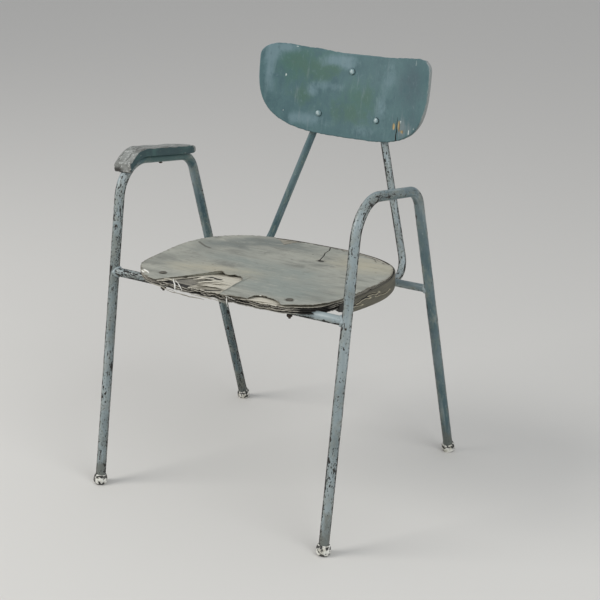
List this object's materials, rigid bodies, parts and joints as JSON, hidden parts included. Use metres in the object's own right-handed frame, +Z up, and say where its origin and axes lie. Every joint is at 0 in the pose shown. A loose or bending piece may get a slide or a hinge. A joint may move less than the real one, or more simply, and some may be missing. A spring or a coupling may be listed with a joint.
{
  "type": "armchair",
  "caption": "Tubular steel armchair with a curved plywood backrest, a splitting plywood seat on a bent wooden rim and one wooden armrest, paint worn and chipped",
  "frame": {"origin": "middle of the bounding box, on the floor that the four feet stand on", "axes": "+Z up, the chair faces -Y, its own left side is +X"},
  "size_m": [0.5706, 0.5916, 0.8396],
  "materials": {
    "blue_grey_paint": "old blue-grey gloss paint, rubbed and chipped to dark steel",
    "white_cap": "white plastic, chipped and dirty",
    "weathered_plywood": "greyed bare plywood with remains of paint",
    "bare_rim_wood": "bare olive-brown bent wood, cracked along the grain",
    "teal_painted_plywood": "teal paint, patchy and rubbed pale",
    "grey_beech": "weathered grey wood with teal paint left on its side",
    "painted_bolt": "painted over, rubbed bright on the dome",
    "rusty_steel": "dull, rusted"
  },
  "bodies": {
    "root": {"armrest": "grey_beech", "armrest_screw": "rusty_steel", "back_bolt_left": "painted_bolt", "back_bolt_right": "painted_bolt", "back_bolt_top": "painted_bolt", "back_hoop": "blue_grey_paint", "back_nut_left": "rusty_steel", "back_nut_right": "rusty_steel", "back_nut_top": "rusty_steel", "backrest": "teal_painted_plywood", "foot_cap_front_left": "white_cap", "foot_cap_front_right": "white_cap", "foot_cap_rear_left": "white_cap", "foot_cap_rear_right": "white_cap", "front_crossbar": "blue_grey_paint", "rear_crossbar": "blue_grey_paint", "rim_screw_left": "rusty_steel", "rim_screw_right": "rusty_steel", "seat_bolt_left": "rusty_steel", "seat_bolt_right": "rusty_steel", "seat_nut_left": "rusty_steel", "seat_nut_right": "rusty_steel", "seat_panel": "weathered_plywood", "seat_rim": "bare_rim_wood", "side_frame_left": "blue_grey_paint", "side_frame_right": "blue_grey_paint"}
  },
  "joints": []
}
